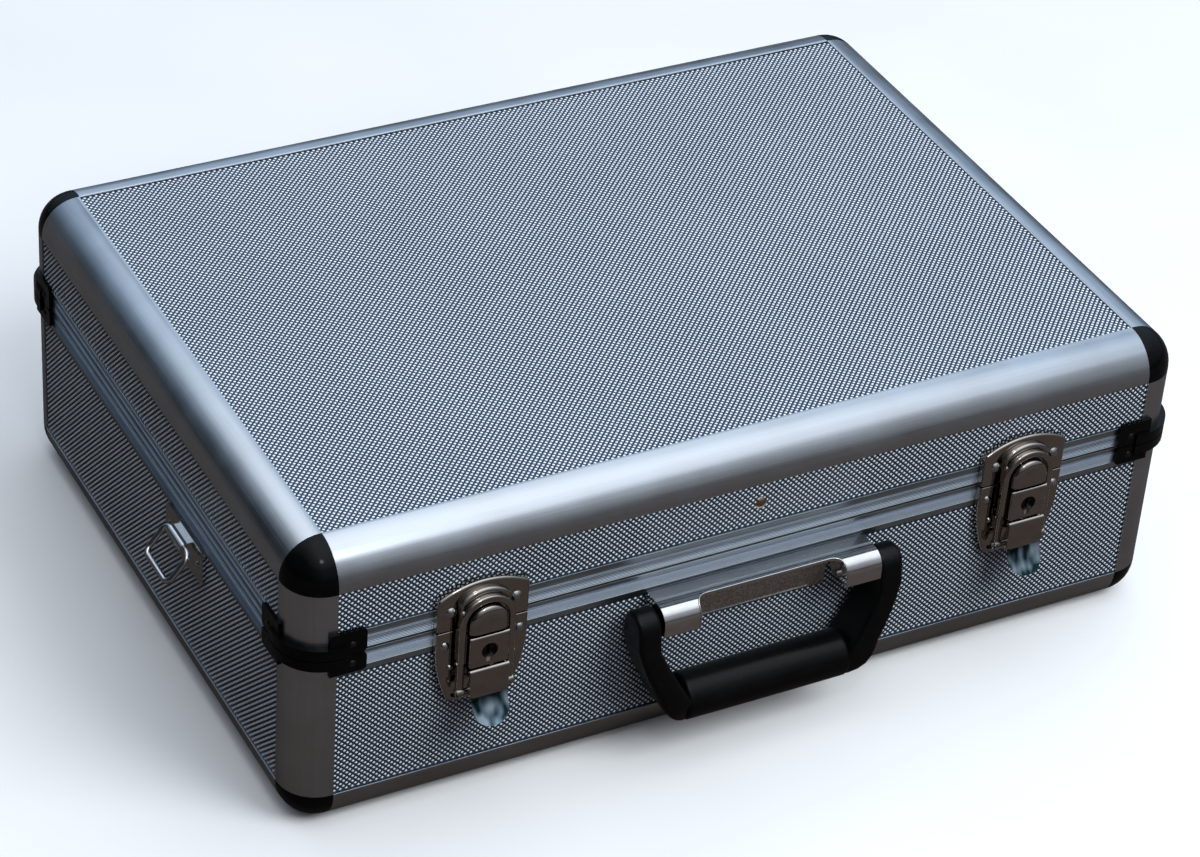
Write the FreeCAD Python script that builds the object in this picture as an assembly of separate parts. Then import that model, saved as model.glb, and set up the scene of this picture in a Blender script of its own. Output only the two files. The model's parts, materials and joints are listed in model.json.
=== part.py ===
import FreeCAD, Part
import math
import os

# Aluminium framed hard-shell case, lying flat on its base, in millimetres.
# X runs along the front, Y points to the back, Z up. The shapes are drawn
# about the middle of the shell; save() then moves them so that the origin is
# the middle of the whole object's footprint.

# ---- driving dimensions ----
WIDTH = 460.0
DEPTH = 330.0
HEIGHT = 153.4
SPLIT_Z = 100.0
SPLIT_GAP = 0.7
EDGE_LEG = 19.8
EDGE_RADIUS = 18.6
EDGE_WALL = 1.8
PANEL = 3.0
LIP = 1.0
LEG = 1.5
GROOVE_U = 14.6
LINING = 3.5
BALL_WALL = 10.0
LATCH_X = 141.4
HINGE_X = 140.0
FRONT_REACH = 190.5
REAR_REACH = 174.5
RUNNING = 0.05

# ---- derived places ----
HX, HY = WIDTH / 2, DEPTH / 2
BASE_TOP = SPLIT_Z - SPLIT_GAP / 2
LID_BOTTOM = SPLIT_Z + SPLIT_GAP / 2
PANEL_BACK = LIP + PANEL
LEG_BACK = PANEL_BACK + LEG
PANEL_EDGE = GROOVE_U + 0.3
SHIFT_Y = (FRONT_REACH - REAR_REACH) / 2
V = FreeCAD.Vector
X_AXIS, Y_AXIS, Z_AXIS = V(1, 0, 0), V(0, 1, 0), V(0, 0, 1)
SIDES = (-1, 1)
CORNERS = [(sx, sy) for sx in SIDES for sy in SIDES]

os.makedirs("parts", exist_ok=True)


def save(name, shapes):
    """One sub-part: a solid, or a group of equal ones."""
    group = shapes if isinstance(shapes, list) else [shapes]
    solids = [solid for shape in group for solid in shape.Solids]
    shape = solids[0] if len(solids) == 1 else Part.makeCompound(solids)
    shape = shape.copy()
    shape.translate(V(0, SHIFT_Y, 0))
    shape.exportStep("parts/" + name + ".step")


def box(x, y, z):
    """A block from three (low, high) pairs, in either order."""
    low = V(min(x), min(y), min(z))
    return Part.makeBox(abs(x[1] - x[0]), abs(y[1] - y[0]), abs(z[1] - z[0]), low)


def rod(radius, start, end):
    return Part.makeCylinder(radius, (end - start).Length, start, end - start)


def face(path):
    """A flat face. An entry (middle, end) is an arc from the last point."""
    edges, last = [], path[0]
    for step in path[1:] + [path[0]]:
        if isinstance(step, tuple):
            edges.append(Part.Arc(last, step[0], step[1]).toShape())
            last = step[1]
        elif (step - last).Length > 1e-6:
            edges.append(Part.LineSegment(last, step).toShape())
            last = step
    return Part.Face(Part.Wire(edges))


def prism(points, place, direction):
    """Flat points put in space by place(), then extruded."""
    path = [
        tuple(place(*p) for p in entry) if isinstance(entry[0], tuple) else place(*entry)
        for entry in points
    ]
    return face(path).extrude(direction)


def fused(shapes):
    whole = shapes[0].fuse(shapes[1:]) if len(shapes) > 1 else shapes[0]
    return whole.removeSplitter()


def rounded(shape, radius, chosen):
    """Fillets the edges that chosen() accepts."""
    edges = [edge for edge in shape.Edges if chosen(edge)]
    return shape.makeFillet(radius, edges)


def dome(radius, height, base, direction):
    """A round rivet head: a cap of a ball, standing on base."""
    ball = (radius**2 + height**2) / (2 * height)
    latitude = math.degrees(math.asin((ball - height) / ball))
    centre = base - direction * (ball - height)
    return Part.makeSphere(ball, centre, direction, latitude, 90, 360)


def mirrored(shape):
    """The same piece on the other side of the middle."""
    return shape.mirror(V(0, 0, 0), X_AXIS)


# ---- shell: panels ----
def wall_panels(half, z0, z1):
    """Front, back, left and right sheets of one half of the shell."""
    span_x = (-HX + PANEL_EDGE, HX - PANEL_EDGE)
    span_y = (-HY + PANEL_EDGE, HY - PANEL_EDGE)
    for name, sign in (("front", -1), ("back", 1)):
        y = (sign * (HY - LIP), sign * (HY - PANEL_BACK))
        save(half + "_" + name + "_panel", box(span_x, y, (z0, z1)))
    for name, sign in (("left", -1), ("right", 1)):
        x = (sign * (HX - LIP), sign * (HX - PANEL_BACK))
        save(half + "_" + name + "_panel", box(x, span_y, (z0, z1)))


def flat_panel(z0, z1):
    x, y = HX - PANEL_EDGE, HY - PANEL_EDGE
    return box((-x, x), (-y, y), (z0, z1))


# ---- shell: quarter-round extrusions ----
def edge_section():
    """Outline and hollow of the extrusion, as distances in from two faces."""
    a, g, r = EDGE_LEG, GROOVE_U, EDGE_RADIUS
    middle = r * (1 - math.sqrt(0.5))
    outline = [(a, 0), (a, LIP), (g, LIP), (g, PANEL_BACK), (a, PANEL_BACK)]
    outline += [(a, LEG_BACK), (g + 0.4, LEG_BACK), (LEG_BACK, g + 0.4)]
    outline += [(LEG_BACK, a), (PANEL_BACK, a), (PANEL_BACK, g), (LIP, g)]
    outline += [(LIP, a), (0, a), (0, r), ((middle, middle), (r, 0))]
    far = g - EDGE_WALL
    inner = r - EDGE_WALL
    near = r - math.sqrt(inner**2 - (r - far) ** 2)
    bow = r - inner * math.sqrt(0.5)
    hollow = [(far, near), (far, LEG_BACK - 0.3), (LEG_BACK - 0.3, far)]
    hollow += [(near, far), ((bow, bow), (far, near))]
    return outline, hollow


def edge_extrusion(corner, u_way, v_way, run):
    """One extrusion whose outer corner line starts at corner."""
    outline, hollow = edge_section()

    def place(u, v):
        return corner + u_way * u + v_way * v

    return prism(outline, place, run).cut(prism(hollow, place, run))


def level_edges(z, up):
    """The four extrusions round the top or the bottom of the shell."""
    clear_x, clear_y = HX - EDGE_LEG, HY - EDGE_LEG
    edges = []
    for sign in SIDES:
        start = V(-clear_x, sign * HY, z)
        edges.append(edge_extrusion(start, V(0, -sign, 0), up, V(2 * clear_x, 0, 0)))
        start = V(sign * HX, -clear_y, z)
        edges.append(edge_extrusion(start, V(-sign, 0, 0), up, V(0, 2 * clear_y, 0)))
    return edges


def upright_edges(z0, z1):
    return [
        edge_extrusion(V(sx * HX, sy * HY, z0), V(-sx, 0, 0), V(0, -sy, 0), V(0, 0, z1 - z0))
        for sx, sy in CORNERS
    ]


# ---- shell: ball corners ----
def ball_corner(sx, sy, z, up):
    """A three-way moulding that joins the extrusions, slotted for the panels."""
    tip = V(sx * HX, sy * HY, z)
    inner = tip + V(-sx, -sy, up) * EDGE_LEG
    block = box((tip.x, inner.x), (tip.y, inner.y), (tip.z, inner.z))
    ball = rounded(
        block, EDGE_RADIUS, lambda e: min((v.Point - tip).Length for v in e.Vertexes) < 1e-6
    )
    g, lip, back = GROOVE_U, LIP, PANEL_BACK

    def slot(u, v, w):
        xs = [tip.x - sx * k for k in u]
        ys = [tip.y - sy * k for k in v]
        zs = [tip.z + up * k for k in w]
        return box(xs, ys, zs)

    deep = (g, EDGE_LEG + 1)
    skin = (lip, back)
    slots = [slot(deep, deep, skin), slot(deep, skin, deep), slot(skin, deep, deep)]
    inside = (BALL_WALL, EDGE_LEG + 1)
    return ball.cut(fused(slots)).cut(slot(inside, inside, inside))


# ---- shell: rims at the parting line ----
def ribs(z0, z1, count, depth):
    """Fine V grooves along a rim, from z0 to z1."""
    pitch = (z1 - z0) / count
    points = []
    for i in range(count):
        points += [(0, z0 + i * pitch), (depth, z0 + (i + 0.5) * pitch)]
    return points + [(0, z1)]


RIM_STEP = 0.5
RIB_DEPTH = 0.4
TONGUE_V = LEG_BACK + 0.3
TONGUE = 1.5
TONGUE_TOP = 104.0
BASE_RIM = 87.5
LID_RIM = 110.8
RAIL_END = 15.3
RAIL_SPAN = (80, 120)


def base_rim_section():
    """Outer bands, the tongue that enters the lid, and the panel's groove."""
    points = [(RIM_STEP, BASE_RIM), (RIM_STEP, 90.9)]
    points += ribs(90.9, 96.6, 8, RIB_DEPTH)
    points += [(RIM_STEP, 96.6), (RIM_STEP, 99.2), (0, 99.2), (0, BASE_TOP)]
    points += [(TONGUE_V, BASE_TOP), (TONGUE_V, TONGUE_TOP), (TONGUE_V + TONGUE, TONGUE_TOP)]
    points += [(TONGUE_V + TONGUE, 92.0), (LEG_BACK, 92.0), (LEG_BACK, BASE_RIM)]
    points += [(PANEL_BACK, BASE_RIM), (PANEL_BACK, 91.6), (LIP, 91.6), (LIP, BASE_RIM)]
    return points


def lid_rim_section():
    points = [(0, LID_BOTTOM)]
    points += ribs(100.7, 106.7, 7, RIB_DEPTH)
    points += [(RIM_STEP, 106.7), (RIM_STEP, 110.3), (0, 110.3), (0, LID_RIM)]
    points += [(LIP, LID_RIM), (LIP, 106.4), (PANEL_BACK, 106.4), (PANEL_BACK, LID_RIM)]
    points += [(LEG_BACK, LID_RIM), (LEG_BACK, LID_BOTTOM)]
    return points


def rim_profiles(section):
    """Four straight rails, notched where the upright extrusions stand."""
    inner_x, inner_y = HX - RAIL_END, HY - RAIL_END
    reach = LEG_BACK + 0.1
    corners = []
    for sx, sy in CORNERS:
        near_x, near_y = (sx * HX, sx * (HX - EDGE_LEG)), (sy * HY, sy * (HY - EDGE_LEG))
        corners.append(box(near_x, (sy * HY, sy * (HY - reach)), RAIL_SPAN))
        corners.append(box((sx * HX, sx * (HX - reach)), near_y, RAIL_SPAN))
    blocks = fused(corners)
    rails = []
    for sign in SIDES:
        place = lambda v, z: V(-inner_x, sign * (HY - v), z)
        rails.append(prism(section, place, V(2 * inner_x, 0, 0)))
        place = lambda v, z: V(sign * (HX - v), -inner_y, z)
        rails.append(prism(section, place, V(0, 2 * inner_y, 0)))
    return [rail.cut(blocks) for rail in rails]


# ---- shell: plastic clamps on the parting line ----
CLAMP_NEAR = 15.4
CLAMP_FAR = 33.2
CLAMP_PROUD = 1.8
BAND_PROUD = 3.0
BAND_END = 23.5


def corner_clamp(sx, sy, plate_z, band_z):
    """Two plates and the band that joins them round the upright corner."""
    parts = []

    def place(z):
        return lambda u, v: V(sx * (HX - u), sy * (HY - v), z)

    for swap in (False, True):
        across = (CLAMP_NEAR, CLAMP_FAR)
        out = (-CLAMP_PROUD, 0)
        u, v = (out, across) if swap else (across, out)
        plate = box(
            [sx * (HX - k) for k in u], [sy * (HY - k) for k in v], plate_z
        )
        way = X_AXIS if swap else Y_AXIS
        parts.append(rounded(plate, 2.2, lambda e: along(e, way) and far_edge(e, sx, sy, swap)))
    r, p, end = EDGE_RADIUS, BAND_PROUD, BAND_END
    outer = r * (1 - math.sqrt(0.5)) - p * math.sqrt(0.5)
    inner = r * (1 - math.sqrt(0.5))
    outline = [(end, -p), (end, 0), (r, 0), ((inner, inner), (0, r)), (0, end)]
    outline += [(-p, end), (-p, r), ((outer, outer), (r, -p))]
    z0, z1 = band_z
    parts.append(prism(outline, place(z0), V(0, 0, z1 - z0)))
    return fused(parts)


def along(edge, way):
    a, b = edge.Vertexes[0].Point, edge.Vertexes[-1].Point
    return abs((b - a).normalize() * way) > 0.999


def far_edge(edge, sx, sy, swap):
    """True for the plate's edges away from the case's corner."""
    point = edge.Vertexes[0].Point
    reach = HY - sy * point.y if swap else HX - sx * point.x
    return reach > CLAMP_FAR - 0.1


# ---- latches ----
PLATE_HALF = 22.5
PLATE_PROUD = 3.6
POCKET_PROUD = 2.2
POCKET_HALF = 14.5
COLUMN_HALF = 9.7
LEVER_Z, LEVER_OUT = 78.4, 9.4
LOOP_Z, LOOP_OUT = 67.0, 7.6
LOOP_HALF = 13.9
LOOP_BAR = 3.4
LOOP_IN, LOOP_FACE = 6.3, 8.9
LEVER_BACK, LEVER_FACE = 11.4, 12.9
ARCH_Z = 104.1
PIVOT_R = 1.0
LEVER_PIN_HALF = 9.4
LOOP_PIN_R = 1.1
EAR_R = 1.6
LEVER_TOP = 81.2
LEVER_SWEEP = 4.35
KEY_Z, KEY_R = 90.1, 3.9


def out(x, z, proud):
    return V(x, -HY - proud, z)


def slab(points, x, low, high):
    """A front-view outline about x, from one distance off the wall to another."""
    return prism(points, lambda u, z: out(x + u, z, low), V(0, -(high - low), 0))


def arch(half, base, spring, top=None):
    """A doorway outline: straight jambs and a round head."""
    head = spring + half if top is None else top
    return [(-half, base), (half, base), (half, spring), ((0, head), (-half, spring))]


def keeper_plate(x):
    """The lid's half of a latch: dished plate, hump and hook dome."""
    h, base = PLATE_HALF, LID_BOTTOM
    outline = [(-h, base), (h, base), (h, 117.2), ((0, 123.7), (-h, 117.2))]
    plate = slab(outline, x, 0, PLATE_PROUD)
    plate = rounded(plate, 2.5, lambda e: along_y(e) and e.Vertexes[0].Point.z > 117)
    plate = rounded(plate, 1.2, lambda e: on_front(e, PLATE_PROUD) and e.BoundBox.ZMax > base + 0.1)
    hump = slab(arch(16.4, base, ARCH_Z), x, 0, 6.0)
    hump = hump.common(box((x - 12.2, x + 12.2), (-HY, -HY - 9), (base, 130)))
    hump = rounded(hump, 1.6, lambda e: on_front(e, 6.0) and e.BoundBox.ZMax > base + 0.1)
    hook = slab(arch(COLUMN_HALF, base, 103.8), x, 0, 10.0)
    hook = rounded(hook, 1.8, lambda e: on_front(e, 10.0) and e.BoundBox.ZMax > base + 0.1)
    pad = slab(outline, x, -LIP, 0).common(
        box((x - h + 1, x + h - 1), (-HY, -HY + LIP), (LID_RIM + 0.2, 123))
    )
    return fused([plate, hump, hook, pad])


def along_y(edge):
    return isinstance(edge.Curve, Part.Line) and along(edge, Y_AXIS)


def on_front(edge, proud):
    """True for an edge that lies in the plane this far off the front wall."""
    bounds = edge.BoundBox
    return abs(bounds.YMin + HY + proud) < 1e-4 and bounds.YLength < 1e-4


def latch_plate(x):
    """The base's half of a latch: shield, channel and the lever's ears."""
    h, top, low = PLATE_HALF, BASE_TOP - 0.3, 58.6
    shield = [(-h, top), (-h, 91.0), ((-20.6, 73.5), (-16.6, 61.2)), ((-14.6, low + 0.5), (-12, low))]
    shield += [(12, low), ((14.6, low + 0.5), (16.6, 61.2)), ((20.6, 73.5), (h, 91.0)), (h, top)]
    plate = slab(shield, x, 0, PLATE_PROUD)
    plate = rounded(plate, 1.2, lambda e: on_front(e, PLATE_PROUD) and e.BoundBox.ZMin < 98)
    channel = box((x - POCKET_HALF, x + POCKET_HALF), (-HY - POCKET_PROUD, -HY - 9), (61.0, 120))
    channel = rounded(channel, 2.0, lambda e: along_y(e) and e.BoundBox.ZMin < 62)
    plate = plate.cut(channel)
    inset = [(-h + 1.5, 87.3), (-h + 1.5, 91 - 4), (-15.6, 61.2), (-11, low + 1)]
    inset += [(11, low + 1), (15.6, 61.2), (h - 1.5, 87.0), (h - 1.5, 87.3)]
    parts = [plate, slab(inset, x, -LIP, 0)]
    for sign in SIDES:
        ear = [(LEVER_Z - EAR_R, POCKET_PROUD - 0.5), (LEVER_Z - EAR_R, LEVER_OUT)]
        ear += [((LEVER_Z, LEVER_OUT + EAR_R), (LEVER_Z + EAR_R, LEVER_OUT))]
        ear += [(LEVER_Z + EAR_R, POCKET_PROUD - 0.5)]
        start = x + sign * 7.9
        parts.append(prism(ear, lambda z, d: out(start, z, d), V(sign * 1.5, 0, 0)))
    ends = out(x - 10, LEVER_Z, LEVER_OUT), out(x + 10, LEVER_Z, LEVER_OUT)
    return fused(parts).cut(rod(PIVOT_R, *ends))


def lock_housing(x):
    """The fixed block with the key's plug, between the loop's legs."""
    base, top, face_out = 81.6, BASE_TOP - 1.0, 11.5
    block = box(
        (x - COLUMN_HALF, x + COLUMN_HALF), (-HY - POCKET_PROUD, -HY - face_out), (base, top)
    )
    block = rounded(block, 1.0, lambda e: on_front(e, face_out) and not_level_low(e, base))
    sweep = rod(LEVER_SWEEP, out(x - 12, LEVER_Z, LEVER_OUT), out(x + 12, LEVER_Z, LEVER_OUT))
    bore = rod(KEY_R + RUNNING, out(x, KEY_Z, 4.0), out(x, KEY_Z, 10.4))
    hole = rod(KEY_R + 0.1, out(x, KEY_Z, 10.3), out(x, KEY_Z, 14))
    notch = box((x - 1.5, x + 1.5), (-HY - 10.3, -HY - 14), (84.2, KEY_Z))
    return block.cut(fused([bore, hole, notch])).cut(sweep)


def not_level_low(edge, base):
    return edge.BoundBox.ZMax > base + 0.1


def key_plug(x):
    plug = rod(KEY_R, out(x, KEY_Z, 4.1), out(x, KEY_Z, 9.9))
    slot = box((x - 0.7, x + 0.7), (-HY - 7.0, -HY - 11), (KEY_Z - 2.6, KEY_Z + 2.6))
    return plug.cut(slot)


def lever(x):
    """The over-centre lever: flat plate, finger tab and two cheeks."""
    half = COLUMN_HALF - 0.1
    plate = slab(
        [(-half, 65.6), (half, 65.6), (half, LEVER_TOP), (-half, LEVER_TOP)], x, LEVER_BACK, LEVER_FACE
    )
    plate = rounded(plate, 1.3, lambda e: on_front(e, LEVER_FACE) and e.BoundBox.ZMin > 66)
    tab_turn = [(65.6, LEVER_BACK), (65.6, LEVER_FACE), (46.8, LEVER_FACE + 2.6)]
    tab_turn += [(46.8, LEVER_BACK + 2.6)]
    tab = prism(tab_turn, lambda z, d: out(x - half, z, d), V(2 * half, 0, 0))
    tip = slab(arch(half, -66.5, -56.4), x, 0, 30)
    tip = tip.mirror(V(0, 0, 0), Z_AXIS)
    tab = tab.common(tip)
    parts = [plate, tab]
    for sign in SIDES:
        cheek = [(LEVER_Z + 1.9, LEVER_BACK + 0.2), (LEVER_Z + 1.9, LEVER_OUT)]
        cheek += [((LEVER_Z, LEVER_OUT - 1.9), (LEVER_Z - 1.8, LEVER_OUT - 0.9))]
        cheek += [(LOOP_Z + 1.6, LOOP_OUT - 1.9), ((LOOP_Z - 2.0, LOOP_OUT - 1.4), (64.6, LOOP_OUT))]
        cheek += [(64.6, LEVER_BACK + 0.2)]
        start = x + sign * 5.9
        parts.append(prism(cheek, lambda z, d: out(start, z, d), V(sign * 1.5, 0, 0)))
    body = fused(parts)
    for z, d, r in ((LEVER_Z, LEVER_OUT, PIVOT_R + RUNNING), (LOOP_Z, LOOP_OUT, LOOP_PIN_R)):
        body = body.cut(rod(r, out(x - 8, z, d), out(x + 8, z, d)))
    return body


def loop(x):
    """The flat loop that pulls on the lid's hook, with an eye on each leg."""
    inner = LOOP_HALF - LOOP_BAR
    outline = slab(arch(LOOP_HALF, LOOP_Z, ARCH_Z), x, LOOP_IN, LOOP_FACE)
    window = slab(arch(inner, LOOP_Z - 1, ARCH_Z), x, LOOP_IN - 1, LOOP_FACE + 1)
    strap = outline.cut(window)
    strap = rounded(strap, 0.9, lambda e: on_front(e, LOOP_FACE) and e.BoundBox.ZMax > 70)
    parts = [strap]
    for sign in SIDES:
        a, b = x + sign * inner, x + sign * LOOP_HALF
        eye = rod(2.4, out(a, LOOP_Z, LOOP_OUT), out(b, LOOP_Z, LOOP_OUT))
        parts.append(eye)
    ends = out(x - 16, LOOP_Z, LOOP_OUT), out(x + 16, LOOP_Z, LOOP_OUT)
    return fused(parts).cut(rod(LOOP_PIN_R + RUNNING, *ends))


# ---- handle ----
BRACKET_HALF = 57.0
BRACKET_TOP = 89.6
BRACKET_OUT = 19.6
BRACKET_BEND = 7.5
BRACKET_FOOT = 76.5
SHEET = 1.5
NOTCH_HALF = 38.5
PIVOT_OUT, PIVOT_Z, PIVOT_ROD = 11.0, 79.0, 2.0
PIN_START, PIN_END = 37.2, 67.6
BOSS_R = 8.8
ARM_IN, ARM_OUT, ARM_END = 57.5, 69.4, 40.5
GRIP_OUT, GRIP_Z, GRIP_R = 13.3, 33.2, 11.7
GRIP_HALF = 42.5
GRIP_STEP = 0.5


def handle_bracket():
    """A bent hood with a notch, leaving a boxed tab at each end."""
    o, t, b, s = BRACKET_OUT, BRACKET_TOP, BRACKET_BEND, SHEET
    bow = b * (1 - math.sqrt(0.5))
    inner = (b - s) * (1 - math.sqrt(0.5))
    hood = [(0, t), (o - b, t), ((o - bow, t - bow), (o, t - b)), (o, BRACKET_FOOT)]
    hood += [(o - s, BRACKET_FOOT), (o - s, t - b)]
    hood += [((o - s - inner, t - s - inner), (o - b, t - s)), (0, t - s)]
    whole = prism(hood, lambda d, z: out(-BRACKET_HALF, z, d), V(2 * BRACKET_HALF, 0, 0))
    n = NOTCH_HALF
    notch = box((-n, n), (-HY - 11.8, -HY - o - 1), (BRACKET_FOOT - 1, t + 1))
    notch = rounded(notch, 6.0, lambda e: along(e, Z_AXIS) and e.BoundBox.YMax > -HY - 12)
    parts = [whole.cut(notch)]
    cheek = [(1, t - s / 2), (o - b, t - s / 2), ((o - s / 2 - bow, t - s / 2 - bow), (o - s / 2, t - b))]
    cheek += [(o - s / 2, BRACKET_FOOT), (6, BRACKET_FOOT), (1, t - 6)]
    for sign in SIDES:
        for x in (n, BRACKET_HALF - s):
            start = sign * x
            wall = prism(cheek, lambda d, z: out(start, z, d), V(sign * s, 0, 0))
            parts.append(wall)
    whole = fused(parts)
    for sign in SIDES:
        ends = out(sign * 36, PIVOT_Z, PIVOT_OUT), out(sign * 60, PIVOT_Z, PIVOT_OUT)
        whole = whole.cut(rod(PIVOT_ROD, *ends))
    return whole


def handle_back_plate():
    plate = box((-NOTCH_HALF, NOTCH_HALF), (-HY + LIP, -HY - 0.4), (66.0, BASE_RIM - 0.2))
    plate = rounded(plate, 2.0, lambda e: along_y(e) and e.BoundBox.ZMin < 67)
    raised = box((-30, 30), (-HY, -HY - 1.1), (67.4, BASE_RIM - 0.6))
    raised = rounded(raised, 0.5, lambda e: on_front(e, 1.1))
    return fused([plate, raised])


def handle_pins():
    return [
        rod(PIVOT_ROD, out(s * PIN_START, PIVOT_Z, PIVOT_OUT), out(s * PIN_END, PIVOT_Z, PIVOT_OUT))
        for s in SIDES
    ]


def handle_arm(sign):
    """One side of the bail: a boss on the pivot, then an arm that curves in to the grip."""
    plan = [(ARM_IN, 92), (ARM_OUT, 92), (ARM_OUT, 72), ((65.2, 57.6), (58.4, 43.2))]
    plan += [((51.2, 29.6), (ARM_END, 22.2)), (ARM_END, 36.0), (43.0, 40.4)]
    plan += [((49.9, 52.4), (ARM_IN, 68.5))]
    arm = slab([mirror_x(entry, sign) for entry in plan], 0, -LIP, 30)
    side = hull_of_two(PIVOT_OUT, PIVOT_Z, BOSS_R, GRIP_OUT, GRIP_Z, GRIP_R + GRIP_STEP)
    return arm.common(prism(side, lambda d, z: out(-80, z, d), V(160, 0, 0)))


def mirror_x(entry, sign):
    """The same point, or arc, on the left for a sign of -1."""
    if isinstance(entry[0], tuple):
        return tuple((sign * x, z) for x, z in entry)
    return (sign * entry[0], entry[1])


def handle_grip():
    """A moulded bail: two arms and a thick round grip between them."""
    grip = rod(GRIP_R, out(-GRIP_HALF, GRIP_Z, GRIP_OUT), out(GRIP_HALF, GRIP_Z, GRIP_OUT))
    grip = fused([grip] + [handle_arm(sign) for sign in SIDES])
    for sign in SIDES:
        ends = out(sign * 50, PIVOT_Z, PIVOT_OUT), out(sign * (PIN_END + 0.2), PIVOT_Z, PIVOT_OUT)
        grip = grip.cut(rod(PIVOT_ROD + RUNNING, *ends))
    return grip


def hull_of_two(u0, v0, r0, u1, v1, r1):
    """The belt outline round two circles, the first above the second."""
    du, dv = u1 - u0, v1 - v0
    gap = math.hypot(du, dv)
    lean = math.atan2(dv, du)
    bite = math.acos((r0 - r1) / gap)

    def at(u, v, r, angle):
        return (u + r * math.cos(angle), v + r * math.sin(angle))

    a, b = lean + bite, lean - bite
    first = [at(u0, v0, r0, a), (at(u0, v0, r0, lean + math.pi), at(u0, v0, r0, b))]
    second = [at(u1, v1, r1, b), (at(u1, v1, r1, lean), at(u1, v1, r1, a))]
    return first + second


# ---- strap plates and rings ----
STRAP_Y = -41.0
STRAP_LOW, STRAP_TOP = 70.0, 89.4
STRAP_HALF = 22.0
WIRE_R = 1.5
RING_Z, RING_OUT = 83.0, 4.2
RING_HALF = 13.5
RING_DROP = 17.0
RING_LEAN = 40.0
KNUCKLE_HALF = 8.0


def side_out(y, z, proud):
    return V(-HX - proud, y, z)


def strap_plate():
    """Left-hand plate with the rolled tab that holds the ring."""
    y0, y1 = STRAP_Y - STRAP_HALF, STRAP_Y + STRAP_HALF
    plate = box((-HX, -HX - SHEET), (y0, y1), (STRAP_LOW, STRAP_TOP))
    plate = rounded(plate, 3.0, lambda e: along(e, X_AXIS))
    pad = box((-HX + LIP, -HX), (y0 + 3, y1 - 3), (STRAP_LOW + 2, BASE_RIM - 0.3))
    k = KNUCKLE_HALF
    start, end = side_out(STRAP_Y - k, RING_Z, RING_OUT), side_out(STRAP_Y + k, RING_Z, RING_OUT)
    roll = rod(WIRE_R + 1.4, start, end)
    root = box((-HX - 1, -HX - RING_OUT), (STRAP_Y - k, STRAP_Y + k), (RING_Z, RING_Z + WIRE_R + 1.4))
    bore = rod(WIRE_R + RUNNING, start - Y_AXIS * 20, end + Y_AXIS * 20)
    return fused([plate, pad, roll, root]).cut(bore)


def strap_ring():
    """A rectangular wire ring on the left, leaning out from its pivot bar."""
    h, d, r = RING_HALF, RING_DROP, 4.0
    k = r * (1 - math.sqrt(0.5))
    route = [V(0, 0, 0), V(0, h - r, 0), (V(0, h - k, -k), V(0, h, -r)), V(0, h, r - d)]
    route += [(V(0, h - k, k - d), V(0, h - r, -d)), V(0, r - h, -d)]
    route += [(V(0, k - h, k - d), V(0, -h, r - d)), V(0, -h, -r)]
    route += [(V(0, k - h, -k), V(0, r - h, 0))]
    wire = face(route).OuterWire
    circle = Part.makeCircle(WIRE_R, V(0, 0, 0), Y_AXIS)
    ring = wire.makePipeShell([Part.Wire([circle])], True, True)
    ring.rotate(V(0, 0, 0), Y_AXIS, RING_LEAN)
    ring.translate(side_out(STRAP_Y, RING_Z, RING_OUT))
    return ring


# ---- hinges and feet ----
HINGE_OUT = 3.7
KNUCKLE_R = 3.2
HINGE_PIN_R = 1.5
HINGE_HALF = 22.0
HINGE_PIN_HALF = 22.8
LEAF = 1.5


def hinge_leaf(x, z_edge, spans):
    """One leaf on the back wall with its share of the knuckles."""
    leaf = box((x - HINGE_HALF, x + HINGE_HALF), (HY, HY + LEAF), (z_edge, SPLIT_Z))
    leaf = rounded(leaf, 3.0, lambda e: along_y(e) and abs(e.BoundBox.ZMin - z_edge) < 0.1)
    parts = [leaf]
    for a, b in spans:
        start, end = V(x + a, HY + HINGE_OUT, SPLIT_Z), V(x + b, HY + HINGE_OUT, SPLIT_Z)
        parts.append(rod(KNUCKLE_R, start, end))
    trim_z = (SPLIT_Z, SPLIT_Z - 1.4) if z_edge < SPLIT_Z else (SPLIT_Z, SPLIT_Z + 1.4)
    whole = fused(parts)
    gaps = [(-HINGE_HALF - 1, spans[0][0])]
    gaps += [(spans[i][1], spans[i + 1][0]) for i in range(len(spans) - 1)]
    gaps += [(spans[-1][1], HINGE_HALF + 1)]
    for a, b in gaps:
        if b - a > 1.5:
            whole = whole.cut(box((x + a, x + b), (HY - 1, HY + 10), trim_z))
    sweep_zone = [
        rod(KNUCKLE_R + 0.4, V(x + a, HY + HINGE_OUT, SPLIT_Z), V(x + b, HY + HINGE_OUT, SPLIT_Z))
        for a, b in gaps
        if b - a > 1.5
    ]
    if sweep_zone:
        whole = whole.cut(fused(sweep_zone))
    bore = V(x - 30, HY + HINGE_OUT, SPLIT_Z), V(x + 30, HY + HINGE_OUT, SPLIT_Z)
    return whole.cut(rod(HINGE_PIN_R + RUNNING, *bore))


FOOT_X = 185.0


def foot(x, z):
    """A round stud that the case stands on when it is upright."""
    tall = REAR_REACH - (HY - LIP)
    stud = Part.makeCone(10.0, 8.0, tall, V(x, HY - LIP, z), Y_AXIS)
    return rounded(stud, 1.5, lambda e: e.BoundBox.YMin > HY + 5 and e.BoundBox.YLength < 1e-4)


# ---- rivets ----
def front_rivet(x, z, proud, radius, height):
    return dome(radius, height, out(x, z, proud), V(0, -1, 0))


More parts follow.
